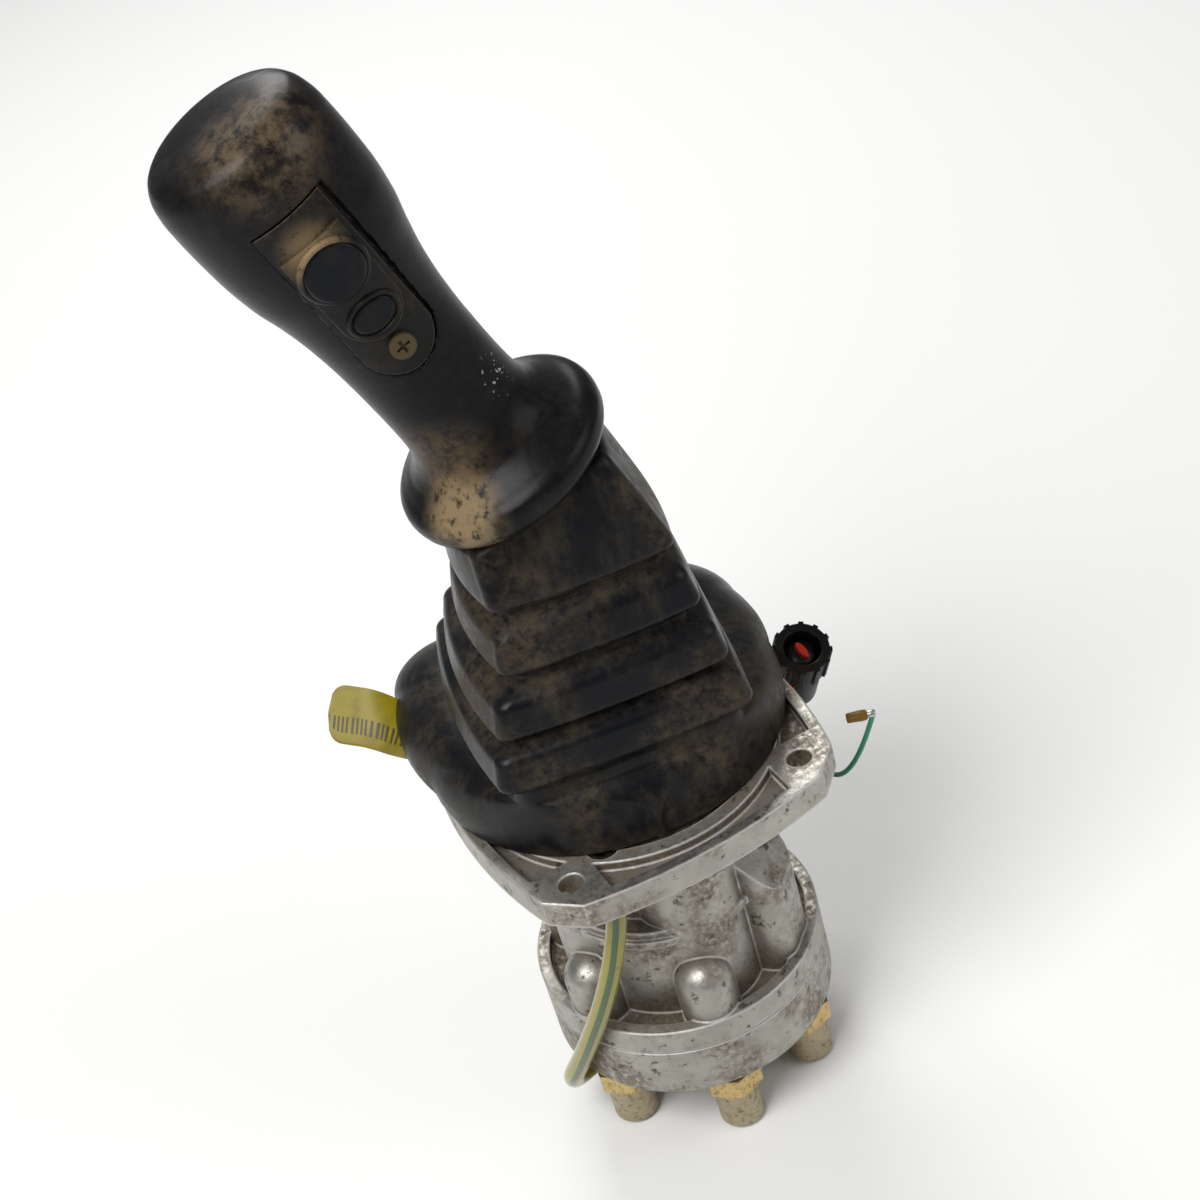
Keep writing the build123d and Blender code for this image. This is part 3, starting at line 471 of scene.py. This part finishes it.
# Surfaces from grids: rows run along the form, columns go round it.
def addSurface(name, rows, material, closed=True, loop=False, capFirst=False, capLast=False):
    count, around = rows.shape[:2]
    corner = np.arange(count * around).reshape(count, around)
    following = np.roll(corner, -1, axis=1)
    nextRow = (np.roll(following, -1, axis=0), np.roll(corner, -1, axis=0))
    faces = np.stack([corner, following, *nextRow], axis=-1)
    if not loop:
        faces = faces[:-1]
    if not closed:
        faces = faces[:, :-1]
    faces = faces.reshape(-1, 4).tolist()
    if capFirst:
        faces.append(corner[0][::-1].tolist())
    if capLast:
        faces.append(corner[-1].tolist())
    mesh = bpy.data.meshes.new(name)
    mesh.from_pydata(rows.reshape(-1, 3), [], faces)
    mesh.materials.append(material)
    item = bpy.data.objects.new(name, mesh)
    bpy.context.scene.collection.objects.link(item)
    shadeSmooth(item, 60)
    return item


def smoothTable(table, places):
    # A monotone cubic through each column of the table: tangent = 2 a b / (a + b) of the slopes either side.
    table = np.array(table, float)
    x, y = table[:, 0], table[:, 1:]
    slope = np.diff(y, axis=0) / np.diff(x)[:, None]
    tangent = np.zeros_like(y)
    product = slope[:-1] * slope[1:]
    safe = np.where(product > 0, slope[:-1] + slope[1:], 1)
    tangent[1:-1] = np.where(product > 0, 2 * product / safe, 0)
    tangent[0], tangent[-1] = slope[0], slope[-1]
    index = np.clip(np.searchsorted(x, places) - 1, 0, len(x) - 2)
    step = (x[index + 1] - x[index])[:, None]
    t = ((places - x[index])[:, None]) / step
    h = (2 * t**3 - 3 * t**2 + 1, t**3 - 2 * t**2 + t, 3 * t**2 - 2 * t**3, t**3 - t**2)
    values = h[0] * y[index] + h[1] * step * tangent[index]
    return values + h[2] * y[index + 1] + h[3] * step * tangent[index + 1]


def turnAbout(points, degrees):
    a = np.radians(degrees)
    x, y = points[..., 0].copy(), points[..., 1].copy()
    points[..., 0] = x * np.cos(a) - y * np.sin(a)
    points[..., 1] = x * np.sin(a) + y * np.cos(a)
    return points


# Round pieces on the cords: a profile of distance and radius in millimetres, carried round a line and
# pressed flat by squash. The terminal lies folded back from the wire's end.
ends = {"tip": [(0, 0.3), (0.1, 1.1), (0.5, 1.35), (2.6, 1.35), (3.1, 1.1), (3.6, 1.1)],
        "sleeve": [(2.9, 0.6), (3.0, 1.7), (3.6, 2.2), (5.5, 2.3), (8.0, 2.1), (9.8, 2.0), (10.2, 1.7),
                   (10.3, 0.4)],
        "core": [(17.1, 0.2), (17.2, 4.9), (23.2, 4.9), (23.8, 4.4), (23.9, 0.3)],
        "bar": [(23.4, 0.2), (23.5, 1.5), (25.6, 1.5), (26.0, 1.1), (26.05, 0.2)],
        "fold": (-1.0, 0.45, 0.02), "offset": (0.0008, -0.0003, 0), "sleeveFlat": 0.75, "barFlat": 2.2}


def turnedPiece(name, start, direction, profile, material, squash=1.0, columns=40):
    profile = np.array(profile, float) * 0.001
    line = np.array(direction, float) / np.linalg.norm(direction)
    side = np.cross(line, (0, 0, 1))
    side /= np.linalg.norm(side)
    other = np.cross(side, line)
    a = np.linspace(0, 2 * math.pi, columns + 1)[:-1]
    ring = np.cos(a)[:, None] * side + squash * np.sin(a)[:, None] * other
    rows = np.array(start) + profile[:, 0, None, None] * line + profile[:, 1, None, None] * ring[::-1]
    item = addSurface(name, rows, material, capFirst=True, capLast=True)
    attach(item, "valve_body")
    return item


wireEnd = np.array(wire["points"][-1]) + np.array(ends["offset"])
wireTip = turnedPiece("bullet_tip", wireEnd, ends["fold"], ends["tip"], brightSteel)
wireSleeve = turnedPiece("bullet_sleeve", wireEnd, ends["fold"], ends["sleeve"], sleeveBrown,
                         ends["sleeveFlat"])
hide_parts("bullet_terminal")
sheathEnd = np.array(sheath["points"][-1])
sheathRun = sheathEnd - np.array(sheath["points"][-2])
plugCore = turnedPiece("connector_core", sheathEnd, sheathRun, ends["core"], connectorBlack)
plugBar = turnedPiece("connector_bar", sheathEnd, sheathRun, ends["bar"], lockRed,
                      ends["barFlat"])
print("cords made")


# Grip, in millimetres and degrees. Stations: distance along it, shift, half width, half depth, tilt.
# Plate: low end, high end, half width, and how far its low end's arch rises. Rows: from, to, count, and the
# head's last rows gathering at its top.
rim, straight = 20.5, 21
grip = {"turn": -4.0, "lean": 21.0, "bend": 104.0, "parting": 5.0, "gap": 0.6,
        "plate": (79.0, 143.0, 11.5, 9.0),
        "sink": 2.4, "edge": 0.5, "groove": 0.35, "grooveFrom": 56, "crowd": 0.42, "columns": 320,
        "rows": ((19.8, 50.0, 80), (50.0, 76.0, 36), (76.0, 146.0, 160)), "head": (164.85, 146.0, 60, 1.6),
        "stations": [
            (19.8, 0, 29.5, 29.5, rim), (20.4, 0, 31.4, 31.4, rim), (21.8, 0, 33.2, 33.2, rim),
            (24.2, 0, 34.4, 34.4, rim), (27.0, 0, 34.7, 34.7, rim), (29.6, 0, 34.1, 34.1, rim),
            (31.6, 0, 32.4, 32.4, rim), (33.6, 0, 29.4, 29.4, rim), (36.2, 0.1, 26.0, 26.0, straight),
            (39.5, 0.2, 23.0, 23.0, straight), (44.0, 0.3, 20.9, 20.9, straight),
            (50.0, 0.4, 19.9, 19.7, straight), (60.0, 0.4, 19.6, 19.3, straight),
            (72.0, 0.4, 19.7, 19.2, straight), (84.0, 0.5, 20.2, 19.6, straight),
            (96.0, 0.7, 21.4, 20.4, straight), (107.0, 1.0, 23.4, 21.6, straight),
            (118.0, 1.2, 25.9, 23.4, straight), (130.0, 1.3, 27.2, 24.9, straight),
            (142.0, 1.3, 27.5, 25.3, straight), (151.0, 1.3, 27.3, 25.0, straight),
            (157.0, 1.2, 26.3, 24.0, straight), (161.0, 1.1, 24.3, 22.0, straight),
            (163.2, 1.0, 21.6, 19.4, straight), (164.3, 0.9, 17.6, 15.6, straight),
            (164.7, 0.9, 12.0, 10.6, straight), (164.8, 0.9, 5.0, 4.4, straight),
            (164.85, 0.9, 0.3, 0.3, straight)],
        "hollow": ((30.0, 8.0), (30.0, 20.0), (28.0, 27.0), (24.0, 29.5), (20.6, 28.6))}


def buildGrip():
    stations = np.array(grip["stations"], float)
    top, headFrom, headRows, power = grip["head"]
    spans = [np.linspace(low, high, count, endpoint=False) for low, high, count in grip["rows"]]
    places = np.concatenate(spans + [top - (top - headFrom) * np.linspace(1, 0, headRows) ** power])
    shift, wide, deep, tilt = smoothTable(stations, places).T
    angle = np.linspace(0, 2 * math.pi, grip["columns"] + 1)[:-1]
    # More columns gather at the front, where the plate's edges are: angle + crowd cos(angle).
    angle = angle + grip["crowd"] * np.cos(angle)
    lean = math.radians(grip["lean"])
    tip = np.radians(tilt)
    lateral = wide[:, None] * np.cos(angle)
    depth = deep[:, None] * np.sin(angle)
    level = np.broadcast_to(places[:, None], lateral.shape)
    front = depth < 0
    low, high, half, rise = grip["plate"]
    # The arch through (0, low) and (half, low + rise): radius = (half^2 + rise^2) / (2 rise).
    radius = (half**2 + rise**2) / (2 * rise)
    gap = grip["gap"]
    arc = low + radius - np.sqrt(np.maximum(radius**2 - np.minimum(np.abs(lateral), half) ** 2, 0))
    inside = np.minimum(np.minimum(half + gap - np.abs(lateral), level - arc + gap), high + gap - level)
    sink = np.clip(inside / grip["edge"], 0, 1) * grip["sink"] * front
    # The parting line is a groove with the section of a bell curve.
    bell = np.exp(-(((depth - grip["parting"]) / grip["groove"]) ** 2))
    groove = grip["groove"] * bell * (level > grip["grooveFrom"])
    depth = depth + sink
    length = np.hypot(lateral, depth)
    lateral, depth = lateral * (1 - groove / length), depth * (1 - groove / length)
    centre = np.stack([-places * math.sin(lean), 0 * places, grip["bend"] + places * math.cos(lean)], axis=-1)
    right = np.stack([np.cos(tip), 0 * tip, np.sin(tip)], axis=-1)
    rows = centre[:, None] + (lateral + shift[:, None])[..., None] * right[:, None]
    rows = rows + depth[..., None] * np.array([0, 1, 0])
    rows = turnAbout(rows, grip["turn"]) * 0.001
    hollow = turnAbout(skirtHollow(angle), grip["turn"]) * 0.001
    item = addSurface("grip_surface", np.concatenate([hollow, rows]), gripBlack, capFirst=True, capLast=True)
    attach(item, "lever")
    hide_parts("grip_body", "grip_back")
    return item


def skirtHollow(angle):
    # The hollow under the skirt, from its roof out to the rim.
    lean, tip = math.radians(grip["lean"]), math.radians(rim)
    right = np.array([math.cos(tip), 0, math.sin(tip)])
    circle = np.cos(angle)[:, None] * right + np.sin(angle)[:, None] * np.array([0, 1, 0])
    rows = []
    for distance, radius in grip["hollow"]:
        centre = np.array([-distance * math.sin(lean), 0, grip["bend"] + distance * math.cos(lean)])
        rows.append(centre + radius * circle)
    return np.array(rows)


buildGrip()
print("grip made")

# Collars round the buttons, small rings carried over the pad's curved face, in millimetres: distance along
# the grip, half width, half height, ring radius, lift.
collars = {"round_collar": (122.0, 9.6, 9.6, 1.0, 1.3), "oval_collar": (102.5, 7.7, 6.1, 0.8, 1.3)}


def gripFace(lateral, along, lift):
    table = smoothTable(np.array(grip["stations"], float), np.ravel(along))
    shift, wide, deep, _ = table.T.reshape(4, *along.shape)
    depth = (deep + lift) * np.sqrt(np.maximum(1 - ((lateral - shift) / (wide + lift)) ** 2, 0.01))
    lean = math.radians(grip["lean"])
    spots = np.stack([-along * math.sin(lean) + lateral * math.cos(lean), -depth,
                      grip["bend"] + along * math.cos(lean) + lateral * math.sin(lean)], axis=-1)
    return turnAbout(spots, grip["turn"]) * 0.001


for name, (along, wide, high, ring, lift) in collars.items():
    turns = (np.linspace(0, 2 * math.pi, count + 1)[:-1] for count in (96, 16))
    a, b = np.meshgrid(*turns, indexing="ij")
    rows = gripFace((wide + ring * np.cos(b)) * np.cos(a), along + (high + ring * np.cos(b)) * np.sin(a),
                    lift + 1.1 * ring * np.sin(b))
    collar = addSurface(name, rows, padDust, loop=True)
    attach(collar, "lever")
print("collars made")

# Boot, in millimetres and degrees. Outlines: left, right, front, rear, then the corner radii at front right,
# rear right, rear left and front left, and a turn. Roll: height and share of the way from the lip's outline
# to the neck's. Tiers: height, left, right, front, rear, corner radius, and on the roof a tilt.
boot = {"turn": -11.0, "wall": 2.0, "step": 0.8, "soft": 0.75, "meet": 48.0, "overlap": 1.0,
        "settled": (12.0, 113.0), "bow": (2.0, 2.0, 4.0, 1.5), "leverAt": -6.6, "hole": 9.2,
        "lip": (-62.6, 60.4, -45.3, 82.5, 61.0, 36.0, 22.0, 60.0, 1.6),
        "neck": (-41.0, 36.0, -36.0, 44.5, 6.5, 6.5, 6.5, 6.5, 0.0),
        "roll": [(0.7, 0.05), (1.6, 0.01), (3.0, 0.0), (8.0, 0.0), (11.0, 0.05), (14.0, 0.14), (17.0, 0.28),
                 (19.5, 0.44), (21.5, 0.62), (22.8, 0.80), (23.2, 0.92), (24.0, 0.99), (25.5, 1.0),
                 (29.0, 1.0)],
        "tiers": [
            (33.2, -44.4, 39.4, -39.4, 48.0, 5.5), (34.7, -45.2, 40.2, -40.2, 48.8, 5.0),
            (36.2, -45.0, 40.0, -40.0, 48.6, 5.0), (44.0, -43.4, 38.4, -38.4, 46.4, 5.0),
            (45.4, -42.2, 37.4, -37.2, 44.6, 5.0), (47.6, -36.4, 32.4, -32.4, 37.0, 5.0),
            (48.4, -36.2, 32.2, -32.2, 36.8, 5.0), (50.6, -39.6, 36.0, -36.0, 38.8, 5.0),
            (51.8, -40.4, 36.8, -36.8, 39.4, 5.0), (53.2, -40.1, 36.5, -36.5, 39.1, 5.0),
            (61.6, -38.2, 35.0, -35.0, 37.0, 5.0), (63.2, -36.6, 33.8, -33.8, 35.4, 5.0),
            (66.4, -29.0, 28.4, -28.4, 29.4, 4.5), (67.6, -28.8, 28.2, -28.2, 29.2, 4.5),
            (71.4, -32.8, 32.4, -32.4, 32.8, 4.5), (72.6, -33.4, 33.1, -33.1, 33.6, 4.5),
            (74.0, -33.2, 32.8, -32.8, 33.3, 4.5), (82.4, -31.6, 31.2, -31.2, 31.4, 4.5),
            (84.2, -30.2, 30.0, -30.0, 30.2, 4.5), (87.4, -25.6, 25.4, -25.4, 25.8, 4.0),
            (88.6, -25.4, 25.2, -25.2, 25.6, 4.0), (93.0, -29.8, 29.5, -29.5, 29.6, 4.0),
            (94.4, -30.3, 30.0, -30.0, 30.1, 4.0), (97.0, -30.2, 29.4, -29.6, 29.7, 4.0)],
        "roof": [(121.6, -29.8, 18.4, -24.4, 24.4, 4.0, 19.0), (123.2, -28.8, 16.8, -23.2, 23.2, 4.0, 20.5)]}


def bootTable():
    # One row a level: height, the outline's nine values, and the tilt.
    lip, neck = np.array(boot["lip"]), np.array(boot["neck"])
    rows = [(height, *(lip * (1 - share) + neck * share), 0) for height, share in boot["roll"]]
    rows += [(*tier[:5], *[tier[5]] * 4, 0, 0) for tier in boot["tiers"]]
    rows += [(*tier[:5], *[tier[5]] * 4, 0, tier[6]) for tier in boot["roof"]]
    return rows


def roundedSections(levels, inset):
    # Each level's outline: four bowed sides joined by quarter circles, with as many columns on every level.
    left, right = levels[:, 1] + inset, levels[:, 2] - inset
    front, rear = levels[:, 3] + inset, levels[:, 4] - inset
    nearRight, farRight, farLeft, nearLeft = np.maximum(levels[:, 5:9] - inset, 0.8).T
    corners = [(right - nearRight, front + nearRight, nearRight, -90),
               (right - farRight, rear - farRight, farRight, 0),
               (left + farLeft, rear - farLeft, farLeft, 90),
               (left + nearLeft, front + nearLeft, nearLeft, 180)]
    arcs = []
    for x, y, radius, start in corners:
        a = np.radians(start + np.linspace(0, 90, 15))
        across, along = x[:, None] + radius[:, None] * np.cos(a), y[:, None] + radius[:, None] * np.sin(a)
        arcs.append(np.stack([across, along], axis=-1))
    share = np.linspace(0, 1, 28)[1:-1][None, :, None]
    pieces = []
    # A side from arc to arc, bowed out by 4 bow s (1 - s).
    outward = ((1, 0), (0, 1), (-1, 0), (0, -1))
    for arc, following, bow, out in zip(arcs, arcs[1:] + arcs[:1], boot["bow"], outward):
        side = arc[:, -1:] * (1 - share) + following[:, :1] * share
        side = side + 4 * bow * share * (1 - share) * np.array(out)
        pieces += [arc, side]
    flat = turnAbout(np.concatenate(pieces, axis=1), levels[:, None, 9])
    gripX = turnAbout(flat.copy(), boot["turn"] - grip["turn"])[..., 0]
    height = levels[:, None, 0] + np.tan(np.radians(levels[:, None, 10])) * gripX
    return np.concatenate([flat, height[..., None]], axis=-1)


def softened(table, step, blur):
    # The table walked at even steps along the front wall's line, then averaged over blur to round it off.
    table = np.array(table, float)
    run = np.concatenate([[0], np.cumsum(np.hypot(np.diff(table[:, 0]), np.diff(table[:, 3])))])
    places = np.linspace(0, run[-1], int(run[-1] / step))
    dense = np.stack([np.interp(places, run, column) for column in table.T], axis=-1)
    reach = int(3 * blur / step)
    weights = np.exp(-0.5 * (np.arange(-reach, reach + 1) * step / blur) ** 2)
    weights /= weights.sum()
    padded = np.concatenate([np.repeat(dense[:1], reach, 0), dense, np.repeat(dense[-1:], reach, 0)])
    smooth = np.stack([np.convolve(column, weights, "valid") for column in padded.T], axis=-1)
    smooth[0], smooth[-1] = dense[0], dense[-1]
    return smooth


def bootPiece(name, roof):
    levels = softened(bootTable(), boot["step"], boot["soft"])
    cut = int(np.argmin(np.abs(levels[:, 0] - boot["meet"])))
    levels = levels[cut:] if roof else levels[: cut + 1]
    outer = roundedSections(levels, 0)
    sparse = levels[::3] if roof else np.concatenate([levels[:-1:3], levels[-1:]])
    inner = roundedSections(sparse, boot["wall"])
    rows = [outer]
    if roof:
        # The roof runs in to the hole round the lever.
        rim = outer[-1]
        spot = turnAbout(np.array([[boot["leverAt"], 0.0, 0.0]]), grip["turn"] - boot["turn"])[0]
        around = np.arctan2(rim[:, 1] - spot[1], rim[:, 0] - spot[0])
        hole = spot[:2] + boot["hole"] * np.stack([np.cos(around), np.sin(around)], axis=-1)
        height, tilt = boot["roof"][-1][0], math.tan(math.radians(boot["roof"][-1][6]))
        hole = np.concatenate([hole, height + tilt * hole[:, :1]], axis=-1)
        under = hole - (0, 0, boot["wall"])
        inner = inner[:-2]
        rows += [rim[None] * (1 - s) + hole[None] * s for s in (0.25, 0.5, 0.75, 1.0)]
        rows += [under[None]]
    rows = np.concatenate(rows + [inner[::-1]]) if roof else np.concatenate([outer, inner[::-1]])
    rows = turnAbout(rows.copy(), boot["turn"]) * 0.001
    item = addSurface(name, rows, bootBlack, loop=True)
    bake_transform(item)
    return item


bootLower = bootPiece("boot_lower_tiers", False)
bootPiece("boot_upper_tiers", True)
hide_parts("boot")
print("boot made")

# Film tag: a folded strip, u along it and v across it; it twists up from its foot to face the front.
tag = {"start": (-38.0, 40.0), "angle": 134.0, "length": 52.0, "width": 20.0, "thick": 0.35, "rise": 6.0,
       "fold": 14.0, "twist": 42.0, "tip": 6.0, "curl": 0.8, "rows": 60, "columns": 25}


def buildTag():
    u = np.linspace(0, 1, tag["rows"])
    v = np.linspace(-1, 1, tag["columns"])
    along = tag["length"] * u
    # The free end is rounded: its half width is that of a flat oval.
    left = np.clip((tag["length"] - along) / tag["tip"], 0, 1)
    half = tag["width"] / 2 * np.sqrt(np.maximum(1 - (1 - left) ** 2, 1e-4)) ** 0.7
    share = np.clip((along - tag["fold"]) / (0.5 * tag["length"]), 0, 1)
    twist = np.radians(tag["twist"]) * share * share * (3 - 2 * share)
    height = np.maximum(along - tag["fold"], 0) * math.sin(math.radians(tag["rise"]))
    height = height + tag["width"] / 2 * np.sin(twist)
    curl = tag["curl"] * v[None] ** 2 * u[:, None]
    across = half[:, None] * v[None]
    c, s = np.cos(twist)[:, None], np.sin(twist)[:, None]
    lengthwise = np.broadcast_to(along[:, None], across.shape)
    top = np.stack([lengthwise, across * c - curl * s, height[:, None] - across * s + curl * c], axis=-1)
    under = top[:, ::-1] - (0, 0, tag["thick"])
    rows = np.concatenate([top, under], axis=1) + (0, 0, tag["thick"] + 0.05)
    rows = turnAbout(rows, tag["angle"])
    rows = (rows + (*tag["start"], 0.0)) * 0.001
    item = addSurface("film_tag", rows, tagFilm, capFirst=True, capLast=True)
    layer = item.data.uv_layers.new(name="UVMap")
    corner = np.zeros(len(item.data.loops), np.int32)
    item.data.loops.foreach_get("vertex_index", corner)
    across = np.concatenate([(v + 1) / 2, (v[::-1] + 1) / 2])
    spots = np.stack([np.repeat(u, 2 * tag["columns"]), np.tile(across, tag["rows"])], axis=-1)
    layer.data.foreach_set("uv", spots[corner].astype(np.float32).ravel())
    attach(item, "valve_body")
    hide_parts("label_tag")
    return item


buildTag()
print("tag made")

# Floor, sky and lights. Each light: place and size in metres, power in watts.
studio = {"floor": (0.86, 0.86, 0.85), "half": 4, "drop": 0.0005, "sky": 0.21,
          "lights": {"key": ((-0.9, -0.5, 1.3), 0.9, 24.0), "fill": ((1.1, -0.9, 0.8), 1.0, 6.0),
                     "rim": ((0.3, 1.1, 1.0), 0.8, 12.0)}}


def buildStudio():
    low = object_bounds()[0][2]
    steps = np.linspace(-studio["half"], studio["half"], 3)
    x, y = np.meshgrid(steps, steps)
    rows = np.stack([x, y, np.full_like(x, low - studio["drop"])], axis=-1)
    p = Paint("pale floor")
    p.finish(p.mix(p.noise(3), studio["floor"], tuple(0.985 * c for c in studio["floor"])), 0.85)
    floor = addSurface("floor", rows, p.material, closed=False)
    world = bpy.data.worlds.new("studio")
    world.use_nodes = True
    world.node_tree.nodes["Background"].inputs[0].default_value = (1, 1, 1, 1)
    world.node_tree.nodes["Background"].inputs[1].default_value = studio["sky"]
    bpy.context.scene.world = world
    for name, (place, size, power) in studio["lights"].items():
        data = bpy.data.lights.new(name, "AREA")
        data.size = size
        data.energy = power
        lamp = bpy.data.objects.new(name, data)
        lamp.location = place
        lamp.rotation_euler = (-Vector(place)).to_track_quat("-Z", "Y").to_euler()
        bpy.context.scene.collection.objects.link(lamp)


buildStudio()
bpy.context.scene.view_settings.view_transform = "Standard"
print("studio made")
